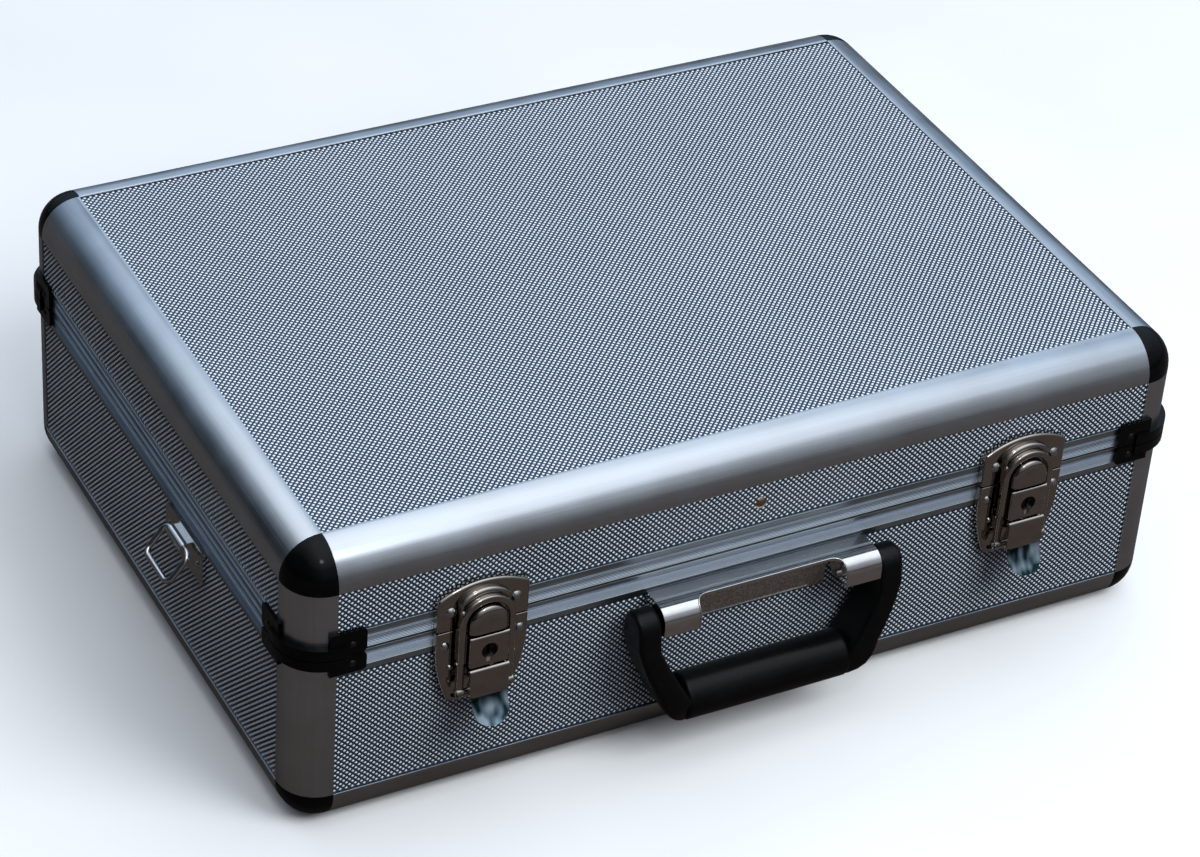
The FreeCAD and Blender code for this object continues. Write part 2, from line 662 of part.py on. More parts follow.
def clamp_rivets(z):
    heads = []
    u = (CLAMP_NEAR + CLAMP_FAR) / 2 + 2
    for sx, sy in CORNERS:
        base = V(sx * (HX - u), sy * (HY + CLAMP_PROUD), z)
        heads.append(dome(1.7, 0.8, base, V(0, sy, 0)))
        base = V(sx * (HX + CLAMP_PROUD), sy * (HY - u), z)
        heads.append(dome(1.7, 0.8, base, V(sx, 0, 0)))
    return heads


PAD_SPAN = EDGE_LEG + 0.3


def lining_pads(z0, z1, span):
    """Four wall pads inside the panels, between the extrusions' legs."""
    x, y = HX - span, HY - span
    pads = []
    for sign in SIDES:
        deep = (sign * (HY - PANEL_BACK), sign * (HY - PANEL_BACK - LINING))
        pads.append(box((-x, x), deep, (z0, z1)))
        deep = (sign * (HX - PANEL_BACK), sign * (HX - PANEL_BACK - LINING))
        pads.append(box(deep, (-y, y), (z0, z1)))
    return pads


def flat_lining(low, high):
    x, y = HX - PAD_SPAN, HY - PAD_SPAN
    return box((-x, x), (-y, y), (low, high))


# ---- build ----
save("base_bottom_panel", flat_panel(LIP, PANEL_BACK))
save("lid_top_panel", flat_panel(HEIGHT - PANEL_BACK, HEIGHT - LIP))
wall_panels("base", PANEL_EDGE, 91.3)
wall_panels("lid", 106.7, HEIGHT - PANEL_EDGE)
save("base_edge_extrusions", level_edges(0, Z_AXIS))
save("lid_edge_extrusions", level_edges(HEIGHT, V(0, 0, -1)))
save("base_corner_extrusions", upright_edges(EDGE_LEG, BASE_TOP))
save("lid_corner_extrusions", upright_edges(LID_BOTTOM, HEIGHT - EDGE_LEG))
save("base_ball_corners", [ball_corner(sx, sy, 0, 1) for sx, sy in CORNERS])
save("lid_ball_corners", [ball_corner(sx, sy, HEIGHT, -1) for sx, sy in CORNERS])
save("base_rim_rails", rim_profiles(base_rim_section()))
save("lid_rim_rails", rim_profiles(lid_rim_section()))
base_clamps = [corner_clamp(sx, sy, (90.0, BASE_TOP), (94.5, BASE_TOP)) for sx, sy in CORNERS]
save("base_corner_clamps", base_clamps)
lid_clamps = [corner_clamp(sx, sy, (LID_BOTTOM, 113.0), (LID_BOTTOM, 106.0)) for sx, sy in CORNERS]
save("lid_corner_clamps", lid_clamps)

save("base_floor_lining", flat_lining(PANEL_BACK, PANEL_BACK + LINING))
save("base_wall_linings", lining_pads(PAD_SPAN, BASE_RIM - 0.3, PAD_SPAN))
save("lid_roof_lining", flat_lining(HEIGHT - PANEL_BACK - LINING, HEIGHT - PANEL_BACK))
save("lid_wall_linings", lining_pads(LID_RIM + 0.3, HEIGHT - PAD_SPAN, PAD_SPAN))

for side, sign in (("left", -1), ("right", 1)):
    at = sign * LATCH_X
    save(side + "_keeper_plate", keeper_plate(at))
    save(side + "_latch_plate", latch_plate(at))
    save(side + "_lock_housing", lock_housing(at))
    save(side + "_key_plug", key_plug(at))
    save(side + "_latch_lever", lever(at))
    save(side + "_latch_loop", loop(at))
    pin = rod(LOOP_PIN_R, out(at - 14.2, LOOP_Z, LOOP_OUT), out(at + 14.2, LOOP_Z, LOOP_OUT))
    save(side + "_loop_pin", pin)

lever_pins = []
for sign in SIDES:
    ends = [out(sign * LATCH_X + k * LEVER_PIN_HALF, LEVER_Z, LEVER_OUT) for k in SIDES]
    lever_pins.append(rod(PIVOT_R, *ends))
save("lever_pins", lever_pins)

save("handle_bracket", handle_bracket())
save("handle_back_plate", handle_back_plate())
save("handle_pivot_pins", handle_pins())
save("handle_grip", handle_grip())

plate, ring = strap_plate(), strap_ring()
save("left_strap_plate", plate)
save("right_strap_plate", mirrored(plate))
save("left_strap_ring", ring)
save("right_strap_ring", mirrored(ring))

hinge_base = []
hinge_lid = []
hinge_pins = []
outer_spans = [(-22, -9), (9, 22)]
inner_spans = [(-8.9, 8.9)]
for sign in SIDES:
    at = sign * HINGE_X
    hinge_base.append(hinge_leaf(at, 80.0, outer_spans))
    hinge_lid.append(hinge_leaf(at, 120.0, inner_spans))
    ends = [V(at + k * HINGE_PIN_HALF, HY + HINGE_OUT, SPLIT_Z) for k in SIDES]
    hinge_pins.append(rod(HINGE_PIN_R, *ends))
save("hinge_base_leaves", hinge_base)
save("hinge_lid_leaves", hinge_lid)
save("hinge_pins", hinge_pins)
save("base_rear_feet", [foot(sign * FOOT_X, 34) for sign in SIDES])
save("lid_rear_feet", [foot(sign * FOOT_X, 122.2) for sign in SIDES])

base_heads = clamp_rivets(95.0)
lid_heads = clamp_rivets(105.5)
for sign in SIDES:
    at = sign * LATCH_X
    base_heads += [front_rivet(at + k * 15.7, 79.3, PLATE_PROUD, 1.5, 1.2) for k in SIDES]
    base_heads += [front_rivet(at + k * 18.4, 91.7, PLATE_PROUD, 2.4, 1.3) for k in SIDES]
    lid_heads += [front_rivet(at + k * 16.0, 110.0, PLATE_PROUD, 2.9, 1.5) for k in SIDES]
    for k in SIDES:
        strap_head = V(sign * (HX + SHEET), STRAP_Y + k * 16.5, 79.5)
        base_heads.append(dome(2.0, 1.0, strap_head, V(sign, 0, 0)))
        leaf_x = sign * HINGE_X + k * 14
        base_heads.append(dome(2.4, 1.0, V(leaf_x, HY + LEAF, 87), Y_AXIS))
        lid_heads.append(dome(2.4, 1.0, V(leaf_x, HY + LEAF, 113), Y_AXIS))
save("base_rivets", base_heads)
save("lid_rivets", lid_heads)
save("lid_centre_rivet", front_rivet(0, 122.6, -LIP, 3.5, 1.6))
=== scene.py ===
"""Hard-shell carrying case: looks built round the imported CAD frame."""

import json
import math

import bmesh
import bpy
from mathutils import Matrix, Vector


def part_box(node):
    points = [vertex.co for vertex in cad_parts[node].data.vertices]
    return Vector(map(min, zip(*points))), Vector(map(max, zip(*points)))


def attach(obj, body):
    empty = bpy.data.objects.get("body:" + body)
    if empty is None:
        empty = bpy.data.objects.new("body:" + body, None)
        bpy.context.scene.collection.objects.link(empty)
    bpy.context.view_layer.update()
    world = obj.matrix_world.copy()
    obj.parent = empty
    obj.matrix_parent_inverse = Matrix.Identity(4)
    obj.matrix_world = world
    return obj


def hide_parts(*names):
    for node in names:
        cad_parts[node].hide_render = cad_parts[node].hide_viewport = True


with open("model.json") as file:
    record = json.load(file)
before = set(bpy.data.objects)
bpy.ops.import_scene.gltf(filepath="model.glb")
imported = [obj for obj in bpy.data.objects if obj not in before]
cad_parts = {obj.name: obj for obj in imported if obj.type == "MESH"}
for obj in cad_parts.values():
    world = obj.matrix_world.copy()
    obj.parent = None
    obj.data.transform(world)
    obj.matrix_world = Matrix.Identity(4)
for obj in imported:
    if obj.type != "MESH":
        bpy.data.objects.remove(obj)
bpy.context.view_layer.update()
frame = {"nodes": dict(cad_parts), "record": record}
NODES = frame["nodes"]

# ---- camera, fitted to the photo's view ----
CAMERA_AT = Vector((-0.7504, -1.3125, 1.1436))
CAMERA_RIGHT = Vector((0.88739, -0.45666, 0.06328))
CAMERA_UP = Vector((0.2215, 0.5426, 0.8103))
LENS_MM = 113.08

# ---- shell, in metres ----
WALL_Y = -0.157
HALF_BUMP = 0.001475
BUMP_HEIGHT = 0.00055
EDGE_LEG = 0.0198
BASE_RIM = 0.0875
LID_RIM = 0.1108
CASE_X = 0.230
CASE_Y = (WALL_Y, 0.173)
CASE_TOP = 0.1534

# ---- clamp rivets, in metres: black beyond this reach from the upright line at CASE_MIDDLE ----
CASE_MIDDLE = (0.0, 0.008, 0.0)
CLAMP_REACH = (0.246, 0.248)

# ---- latches, in millimetres ----
LATCH_X = 141.4
# Where the CAD lever is cut off: height, distance off the wall.
LEVER_CUT = (65.8, 12)
# The finger tab: its start is (height, off the wall), its angle (degrees off upright, degrees gained).
TAB_LENGTH = 15.6
TAB_START = (66.6, 12.0)
TAB_ANGLE = (20, 23)
TAB_HALF = 8.9
TAB_TIP_HALF = 1.2
# The tab's sides stand proud by (this much, at this far from its middle).
TAB_CURL = (1.0, 9.5)
# The tab's back lies (lower, nearer the wall) than its front.
TAB_BACK = (0.4, 1.1)
DOME_HALF = 9.6
DOME_ROUND = 4.6
DOME_FLOOR = 100.2
DOME_CENTRE = 103.8
# Off the wall: the dome's skirt, its foot, and its height over the foot.
DOME_PROUD = (8.6, 9.2, 2.2)
LIP_X = (14.9, 18.5, 22.1)
# Height, distance off the wall.
LIP_AT = (99.3, 3.5)

# ---- handle, in millimetres: (off the wall, height, radius) ----
BOSS = (11.0, 79.0, 8.8)
KNUCKLE = (13.3, 33.2, 12.2)
GRIP = (13.3, 33.2, 11.7)
GRIP_HALF = 42.5
GRIP_SWELL = 0.10
# The grip's ends shrink by (this much, over this length).
GRIP_EASE = (0.5, 1.2)
# The collar round each pivot: its face's distance from the case's middle, its inner radius.
PIVOT_SPOT = (69.4, 2.3)
ARM_ROUND = 2.6
# Front view, (from the case's middle, height).
ARM_INNER = [(57.5, 79.0), (57.5, 68.5), (49.9, 52.4), (43.0, 40.4), (40.5, 36.0)]
ARM_OUTER = [(69.4, 79.0), (69.4, 72.0), (65.2, 57.6), (58.4, 43.2), (51.2, 29.6), (40.5, 22.2)]

# ---- bracket, in millimetres: HOOD_OUT, NOTCH_DEPTH and PLATE_LIP_PROUD are off the wall ----
HOOD_HALF = 38.5
HOOD_FOOT = 76.8
HOOD_TOP = 89.6
HOOD_OUT = 19.6
HOOD_BEND = 7.5
NOTCH_DEPTH = 11.8
NOTCH_TURN = 6.0
PLATE_LIP = [(29.6, 85.0), (29.6, 68.2), (28.9, 67.5)]
PLATE_LIP_PROUD = 1.15

# ---- radii of the beads, in metres ----
LIP_RADIUS = 0.00034
ROLL_RADIUS = 0.00042
PLATE_LIP_RADIUS = 0.0004

# ---- linings, in metres, apart from the step counts, the levels and the crown's power ----
PAD_THICK = 0.0035
PAD_GAP = 0.0003
CORNER_GAP = 0.0155
QUILT_CELL = 0.034
QUILT_STEPS = 8
QUILT_MOST_STEPS = 160
QUILT_ROLL = 0.003
# Shares of the thickness: everywhere, gained off the rolled edge, gained at a cell's crown.
QUILT_LEVELS = (0.28, 0.34, 0.38)
QUILT_CROWN = 0.45


def link(name, mesh):
    ob = bpy.data.objects.new(name, mesh)
    bpy.context.scene.collection.objects.link(ob)
    return ob


def mesh_object(name, verts, faces, mat, smooth=False):
    mesh = bpy.data.meshes.new(name)
    mesh.from_pydata(verts, [], faces)
    if smooth:
        mesh.shade_smooth()
    mesh.materials.append(mat)
    return link(name, mesh)


def on_front(x, z, off):
    """A front-view place in millimetres, this far off the front wall."""
    return Vector((x / 1000, WALL_Y - off / 1000, z / 1000))


def face_outwards(ob):
    bm = bmesh.new()
    bm.from_mesh(ob.data)
    bmesh.ops.recalc_face_normals(bm, faces=bm.faces)
    bm.to_mesh(ob.data)
    bm.free()


# ---- materials ----
def set_stops(ramp, stops):
    """Gives a colour ramp its places, each with a colour or one grey level."""
    while len(ramp.elements) < len(stops):
        ramp.elements.new(0.5)
    for element, (place, colour) in zip(ramp.elements, stops):
        element.position = place
        element.color = (*colour, 1) if isinstance(colour, tuple) else (colour, colour, colour, 1)


class Paint:
    """A Principled material and the few node steps that the finishes share."""

    def __init__(self, name, **sockets):
        self.mat = bpy.data.materials.new(name)
        self.mat.use_nodes = True
        self.tree = self.mat.node_tree
        self.shader = self.tree.nodes["Principled BSDF"]
        for key, value in sockets.items():
            self.shader.inputs[key.replace("_", " ")].default_value = value
        self.coords = self.add("ShaderNodeTexCoord").outputs["Object"]

    def add(self, kind):
        return self.tree.nodes.new(kind)

    def join(self, source, target):
        self.tree.links.new(source, target)

    def stretched(self, scale):
        node = self.add("ShaderNodeMapping")
        node.inputs["Scale"].default_value = scale
        self.join(self.coords, node.inputs["Vector"])
        return node.outputs["Vector"]

    def noise(self, scale, detail=2.0, stretch=None):
        node = self.add("ShaderNodeTexNoise")
        node.inputs["Scale"].default_value = scale
        node.inputs["Detail"].default_value = detail
        self.join(self.stretched(stretch) if stretch else self.coords, node.inputs["Vector"])
        return node.outputs["Fac"]

    def cells(self, scale):
        node = self.add("ShaderNodeTexVoronoi")
        node.inputs["Scale"].default_value = scale
        self.join(self.coords, node.inputs["Vector"])
        return node.outputs["Distance"]

    def waves(self, pitch):
        """Level lines, one every pitch metres up: at scale 1 the node has one every 0.314."""
        node = self.add("ShaderNodeTexWave")
        node.bands_direction = "Z"
        node.inputs["Scale"].default_value = 0.314 / pitch
        self.join(self.coords, node.inputs["Vector"])
        return node.outputs["Fac"]

    def attribute(self, name):
        node = self.add("ShaderNodeAttribute")
        node.attribute_name = name
        return node.outputs["Fac"]

    def ramp(self, source, stops):
        node = self.add("ShaderNodeValToRGB")
        set_stops(node.color_ramp, stops)
        self.join(source, node.inputs["Fac"])
        return node.outputs["Color"]

    def blend(self, a, b, share, mode="MIX"):
        node = self.add("ShaderNodeMix")
        node.data_type = "RGBA"
        node.blend_type = mode
        node.clamp_factor = True
        for value, index in ((share, 0), (a, 6), (b, 7)):
            if isinstance(value, (int, float, tuple)):
                node.inputs[index].default_value = value
            else:
                self.join(value, node.inputs[index])
        return node.outputs[2]

    def between(self, source, low, high, start=0.3, stop=0.7):
        node = self.add("ShaderNodeMapRange")
        limits = {"From Min": start, "From Max": stop, "To Min": low, "To Max": high}
        for key, value in limits.items():
            node.inputs[key].default_value = value
        self.join(source, node.inputs["Value"])
        return node.outputs["Result"]

    def bump(self, source, depth, strength=1.0, after=None):
        node = self.add("ShaderNodeBump")
        node.inputs["Distance"].default_value = depth
        node.inputs["Strength"].default_value = strength
        self.join(source, node.inputs["Height"])
        if after:
            self.join(after, node.inputs["Normal"])
        self.join(node.outputs["Normal"], self.shader.inputs["Normal"])
        return node.outputs["Normal"]

    def colour(self, source):
        self.join(source, self.shader.inputs["Base Color"])

    def rough(self, source):
        self.join(source, self.shader.inputs["Roughness"])

    def metal(self, source):
        self.join(source, self.shader.inputs["Metallic"])


def grey(value, warm=0.0):
    return (min(value * (1 + warm), 1.0), value, min(value * (1 - warm), 1.0))


def aluminium(name, stretch, tone=0.60, ribs=0.0):
    """Satin anodised extrusion: drawing lines along it, cloudy handling marks, a fine grain."""
    p = Paint(name, Metallic=1.0)
    cloud = p.noise(45, 3)
    lines = p.noise(1.0, 3, stretch)
    base = p.ramp(cloud, [(0.3, grey(tone * 0.90, -0.04)), (0.7, grey(tone, -0.06))])
    drawn = p.blend(base, p.ramp(lines, [(0.35, 0.80), (0.65, 1.0)]), 0.35, "MULTIPLY")
    p.rough(p.between(p.blend(cloud, lines, 0.5), 0.26, 0.40))
    first = p.bump(lines, 0.00003, 0.35)
    if ribs:
        # The ribs carry painted shade: darker and bluer down each groove, over a matching bump.
        wave = p.waves(ribs)
        shade = p.ramp(wave, [(0.15, (0.52, 0.58, 0.68)), (0.85, (0.92, 1.0, 1.0))])
        drawn = p.blend(drawn, shade, 0.9, "MULTIPLY")
        first = p.bump(wave, 0.00008, 0.6, first)
    p.colour(drawn)
    p.bump(p.noise(2600, 2), 0.00001, 0.25, first)
    return p.mat


def chrome(name, tone=0.60, rough=(0.05, 0.16), warm=0.0, grain=0.00001):
    """Plated steel: haze and hairlines in its colour and shine, over a faint unevenness."""
    p = Paint(name, Metallic=1.0)
    haze = p.noise(140, 4)
    hair = p.noise(1.0, 4, (90, 1400, 260))
    base = p.ramp(haze, [(0.25, grey(tone * 0.86, warm)), (0.75, grey(tone, warm * 0.5))])
    p.colour(p.blend(base, p.ramp(hair, [(0.42, 0.88), (0.50, 1.0)]), 0.5, "MULTIPLY"))
    p.rough(p.between(p.blend(haze, hair, 0.4), *rough))
    p.bump(p.noise(900, 3), grain, 0.5)
    return p.mat


def tab_plating_and_reflection():
    """Cold blue plating, with light and dark streaks down its length that are painted reflection."""
    p = Paint("tab_plating_and_reflection", Metallic=1.0)
    reflection_streak = p.noise(1.0, 1, (170, 170, 9))
    dark, middle, light = (0.02, 0.05, 0.06), (0.26, 0.38, 0.44), (0.62, 0.76, 0.90)
    p.colour(p.ramp(reflection_streak, [(0.42, dark), (0.53, middle), (0.64, light)]))
    p.rough(p.between(p.noise(200, 3), 0.05, 0.14))
    p.bump(reflection_streak, 0.00008, 0.6)
    return p.mat


def rivets(name):
    """Bright at the fittings, blackened where they hold the black corner pieces."""
    p = Paint(name)
    haze = p.noise(300, 3)
    reach = p.add("ShaderNodeVectorMath")
    reach.operation = "DISTANCE"
    p.join(p.stretched((1, 1, 0)), reach.inputs[0])
    reach.inputs[1].default_value = CASE_MIDDLE
    corner = p.between(reach.outputs["Value"], 0.0, 1.0, *CLAMP_REACH)
    shiny = p.ramp(haze, [(0.3, grey(0.42, 0.06)), (0.7, grey(0.60))])
    p.colour(p.blend(shiny, (0.003, 0.003, 0.003, 1), corner))
    p.metal(p.between(corner, 1.0, 0.0, 0, 1))
    p.rough(p.between(haze, 0.10, 0.22))
    p.bump(haze, 0.00001, 0.4)
    return p.mat


def hammered(name):
    """Hammered plate: small dimples, each with painted shade in its middle."""
    p = Paint(name, Metallic=1.0)
    grain = p.cells(900)
    p.colour(p.ramp(grain, [(0.1, grey(0.34, 0.08)), (0.7, grey(0.66, 0.05))]))
    p.rough(p.between(p.noise(200, 3), 0.22, 0.4))
    p.bump(p.blend(grain, p.noise(1400, 3), 0.5), 0.0003, 0.8)
    return p.mat


def plastic(name, tone, rough, grain, depth, shine=0.3):
    """Moulded black plastic: skin grain, worn shine and a little dust in the grain."""
    p = Paint(name, Specular_IOR_Level=shine)
    skin = p.noise(grain, 3)
    wear = p.noise(60, 4)
    clean = p.ramp(wear, [(0.3, grey(tone * 0.8)), (0.7, grey(tone * 1.25, -0.05))])
    dust = p.ramp(p.noise(420, 5), [(0.62, 0.0), (0.80, 1.0)])
    p.colour(p.blend(clean, (0.03, 0.03, 0.03, 1), p.between(dust, 0.0, 0.20, 0, 1)))
    p.rough(p.between(p.blend(wear, skin, 0.35), *rough))
    p.bump(skin, depth, 0.5)
    return p.mat


def embossed():
    """Foil-faced board: bright points over dark hollows, by the height kept on the mesh."""
    p = Paint("embossed_foil")
    height = p.attribute("raise")
    blotch = p.noise(16, 2)
    speck = p.noise(900, 2)
    edge = p.ramp(height, [(0.40, 0.0), (0.57, 1.0)])
    # The points' near-white is partly the foil's own colour and partly a painted highlight, standing
    # in for glints off rounded tips.
    bright = p.ramp(blotch, [(0.3, (0.88, 0.93, 0.97)), (0.7, (0.93, 0.97, 1.0))])
    bright = p.blend(bright, p.ramp(speck, [(0.3, 0.80), (0.6, 1.0)]), 0.6, "MULTIPLY")
    dark = p.ramp(blotch, [(0.3, (0.034, 0.056, 0.094)), (0.7, (0.042, 0.068, 0.110))])
    p.colour(p.blend(dark, bright, edge))
    p.metal(p.between(edge, 0.60, 0.12, 0, 1))
    p.rough(p.between(p.blend(edge, speck, 0.3), 0.34, 0.42, 0, 1))
    p.bump(speck, 0.00002, 0.4)
    return p.mat


def fabric():
    """Short-napped lining cloth with a fine knit."""
    p = Paint("lining_nap", Sheen_Weight=0.5, Sheen_Roughness=0.45)
    knit = p.cells(1300)
    nap = p.noise(2400, 3)
    p.colour(
        p.blend(
            p.ramp(knit, [(0.1, (0.035, 0.036, 0.040)), (0.8, (0.010, 0.010, 0.012))]),
            p.ramp(p.noise(35, 3), [(0.3, 0.75), (0.7, 1.0)]),
            0.8,
            "MULTIPLY",
        )
    )
    p.rough(p.between(nap, 0.85, 1.0))
    p.bump(p.blend(knit, nap, 0.5), 0.0004, 0.7)
    return p.mat


LEVEL = aluminium("aluminium_level", (14, 14, 2200))
UPRIGHT = aluminium("aluminium_upright", (2200, 2200, 14))
RIM = aluminium("aluminium_rim", (10, 10, 4200), 0.62, 0.00075)
FOIL = embossed()
GLOSS = plastic("gloss_black", 0.002, (0.07, 0.15), 500, 0.00001, 0.12)
SATIN = plastic("satin_black", 0.002, (0.26, 0.38), 1500, 0.00003, 0.18)
RUBBER = plastic("rubber_black", 0.020, (0.65, 0.85), 900, 0.0001)
NAP = fabric()
# The latch plating's dark tone is painted shade, and its warm cast a painted brown reflection.
LATCH = chrome("latch_plating", 0.42, (0.02, 0.06), 0.13, 0.000004)
TAB = tab_plating_and_reflection()
FITTING = chrome("fitting_plating", 0.72, (0.03, 0.10), 0.0, 0.000006)
HINGE = chrome("hinge_plating", 0.52, (0.20, 0.34))
# The lock plating is near black: painted shade, so that the key plug reads as a dark hole.
LOCK = chrome("lock_plug_painted_shade", 0.035, (0.26, 0.36), 0.05)
RIVET = rivets("rivet_plating")
BRASS = chrome("rivet_brass", 0.34, (0.16, 0.28), 0.35)
HAMMER = hammered("hammered_plate")
FINISH = {
    "frame_aluminium": LEVEL,
    "embossed_panel": FOIL,
    "corner_plastic": GLOSS,
    "lining_fabric": NAP,
    "latch_chrome": LATCH,
    "fitting_chrome": FITTING,
    "handle_plastic": SATIN,
    "foot_plastic": RUBBER,
    "hinge_steel": HINGE,
    "lock_steel": LOCK,
    "rivet_steel": RIVET,
}
OWN_FINISH = {
    "base_corner_extrusions": UPRIGHT,
    "lid_corner_extrusions": UPRIGHT,
    "base_rim_rails": RIM,
    "lid_rim_rails": RIM,
    "handle_back_plate": HAMMER,
    "lid_centre_rivet": BRASS,
}


def record_slots():
    """Node name to material slot name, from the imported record."""
    return {part["node"]: part["material_slot"] for part in frame["record"]["subparts"]}


# ---- embossed panels ----
def embossed_panel(node, body, axis, side, window):
    """A board whose outer face carries raised points inside window, and is flat round them."""
    low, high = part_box(node)
    u, v = [k for k in range(3) if k != axis]
    outer = high[axis] if side > 0 else low[axis]
    inner = low[axis] if side > 0 else high[axis]
    counts, starts = [], []
    for k, (a, b) in zip((u, v), window):
        count = math.ceil((b - a) / HALF_BUMP)
        counts.append(count)
        starts.append((a + b) / 2 - count * HALF_BUMP / 2)

    def place(a, b, depth):
        point = [0.0, 0.0, 0.0]
        point[u], point[v], point[axis] = a, b, depth
        return tuple(point)

    nu, nv = counts
    verts, raised = [], []
    for j in range(nv + 1):
        for i in range(nu + 1):
            top = (i + j) % 2 == 0 and 0 < i < nu and 0 < j < nv
            depth = outer + side * BUMP_HEIGHT * top
            verts.append(place(starts[0] + i * HALF_BUMP, starts[1] + j * HALF_BUMP, depth))
            raised.append(float(top))
    row = nu + 1
    faces = []
    for j in range(nv):
        for i in range(nu):
            a, b = j * row + i, j * row + i + 1
            d, c = a + row, b + row
            faces += [(a, b, d), (c, d, b)] if (i + j) % 2 == 0 else [(a, b, c), (a, c, d)]
    rim = [list(range(row)), [j * row + nu for j in range(nv + 1)]]
    rim.append([nv * row + i for i in reversed(range(row))])
    rim.append([j * row for j in reversed(range(nv + 1))])
    spots = [(low[u], low[v]), (high[u], low[v]), (high[u], high[v]), (low[u], high[v])]
    first = len(verts)
    verts += [place(a, b, outer) for a, b in spots] + [place(a, b, inner) for a, b in spots]
    raised += [0.0] * 8
    for k in range(4):
        n = (k + 1) % 4
        faces.append(tuple([first + k, first + n] + rim[k][::-1]))
        faces.append((first + k, first + n, first + 4 + n, first + 4 + k))
    faces.append(tuple(first + 4 + k for k in range(4)))
    ob = mesh_object(node.replace("panel", "embossed_panel"), verts, faces, FOIL)
    store = ob.data.attributes.new("raise", "FLOAT", "POINT")
    store.data.foreach_set("value", raised)
    face_outwards(ob)
    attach(ob, body)
    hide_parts(node)


def panels():
    across = (-CASE_X + EDGE_LEG, CASE_X - EDGE_LEG)
    deep = (CASE_Y[0] + EDGE_LEG, CASE_Y[1] - EDGE_LEG)
    embossed_panel("lid_top_panel", "lid", 2, 1, (across, deep))
    embossed_panel("base_bottom_panel", "base", 2, -1, (across, deep))
    for body, tall in (("base", (EDGE_LEG, BASE_RIM)), ("lid", (LID_RIM, CASE_TOP - EDGE_LEG))):
        embossed_panel(body + "_front_panel", body, 1, -1, (across, tall))
        embossed_panel(body + "_back_panel", body, 1, 1, (across, tall))
        embossed_panel(body + "_left_panel", body, 0, -1, (deep, tall))
        embossed_panel(body + "_right_panel", body, 0, 1, (deep, tall))


# ---- handle ----
def belt_at(z):
    """How near to and far from the wall the bail's side view lies at a height."""
    (u0, v0, r0), (u1, v1, r1) = BOSS, KNUCKLE
    if z >= v0:
        reach = math.sqrt(max(r0**2 - (z - v0) ** 2, 0.0))
        return u0 - reach, u0 + reach
    if z <= v1:
        reach = math.sqrt(max(r1**2 - (z - v1) ** 2, 0.0))
        return u1 - reach, u1 + reach
    share = (v0 - z) / (v0 - v1)
    u, r = u0 + share * (u1 - u0), r0 + share * (r1 - r0)
    return u - r, u + r


def rounded_ring(corners, radius, steps=6, most=0.42, keep=0.86, give=0.07):
    """Points of a four-cornered loop with its corners rounded, each by at most a share of a side."""
    ring = []
    for k, corner in enumerate(corners):
        back = corners[k - 1] - corner
        ahead = corners[(k + 1) % 4] - corner
        reach = min(radius, most * back.length, most * ahead.length)
        a, b = corner + back.normalized() * reach, corner + ahead.normalized() * reach
        pull = corner * keep + (a + b) * give
        for s in range(steps + 1):
            t = s / steps
            ring.append((1 - t) ** 2 * a + 2 * t * (1 - t) * pull + t**2 * b)
    return ring


def skin(rings, verts, faces):
    """Closes a run of equal rings into a tube with flat ends."""
    first, n = len(verts), len(rings[0])
    for ring in rings:
        verts += [tuple(p) for p in ring]
    for k in range(len(rings) - 1):
        a, b = first + k * n, first + (k + 1) * n
        for i in range(n):
            j = (i + 1) % n
            faces.append((a + i, a + j, b + j, b + i))
    faces.append(tuple(reversed(range(first, first + n))))
    last = first + (len(rings) - 1) * n
    faces.append(tuple(range(last, last + n)))


def arc(a, b, c, steps):
    """Places along the circle through a, b and c, from a to c."""
    a, b, c = Vector(a), Vector(b), Vector(c)
    centre = circle_centre(a, b, c)
    start, stop = (a - centre), (c - centre)
    turn = start.angle_signed(stop)
    points = []
    for k in range(steps + 1):
        swing = Matrix.Rotation(-turn * k / steps, 2)
        points.append(centre + swing @ start)
    return points


def circle_centre(a, b, c):
    """The centre of the circle through three places in a plane."""
    ab, ac = b - a, c - a
    double = 2 * (ab.x * ac.y - ab.y * ac.x)
    across = Vector((ac.y * ab.length_squared - ab.y * ac.length_squared, 0))
    across.y = ab.x * ac.length_squared - ac.x * ab.length_squared
    return a + across / double


def arm_edges():
    """The arm's inner and outer edges in front view, point for point, from the pivot down."""
    top, bend, middle, low, foot = ARM_INNER
    inner = [Vector(top)] + arc(bend, middle, low, 10)
    inner += [Vector(low).lerp(Vector(foot), share) for share in (0.33, 0.66, 1.0)]
    top, bend, waist, knee, heel, toe = ARM_OUTER
    outer = [Vector(top)] + arc(bend, waist, knee, 7) + arc(knee, heel, toe, 6)[1:]
    return zip(inner, outer)


def arm_rings(sign):
    """Cross-sections of one arm: down over the round boss, then down the arm to the grip."""
    rings = []
    for step in range(9, 0, -1):
        rise = BOSS[2] * math.sin(math.radians(10 * step))
        z = BOSS[1] + rise
        gap = BOSS[2] - rise
        inset = ARM_ROUND - math.sqrt(max(ARM_ROUND**2 - max(ARM_ROUND - gap, 0) ** 2, 0.0))
        near, far = belt_at(min(z, BOSS[1] + BOSS[2] - 0.05))
        x0, x1 = ARM_INNER[0][0] + inset, ARM_OUTER[0][0] - inset
        places = ((x0, near), (x0, far), (x1, far), (x1, near))
        corners = [on_front(sign * x, z, off) for x, off in places]
        rings.append(rounded_ring(corners, ARM_ROUND / 1000))
    for (x0, z0), (x1, z1) in arm_edges():
        (near0, far0), (near1, far1) = belt_at(z0), belt_at(z1)
        corners = [on_front(sign * x0, z0, near0), on_front(sign * x0, z0, far0)]
        corners += [on_front(sign * x1, z1, far1), on_front(sign * x1, z1, near1)]
        rings.append(rounded_ring(corners, ARM_ROUND / 1000))
    return rings


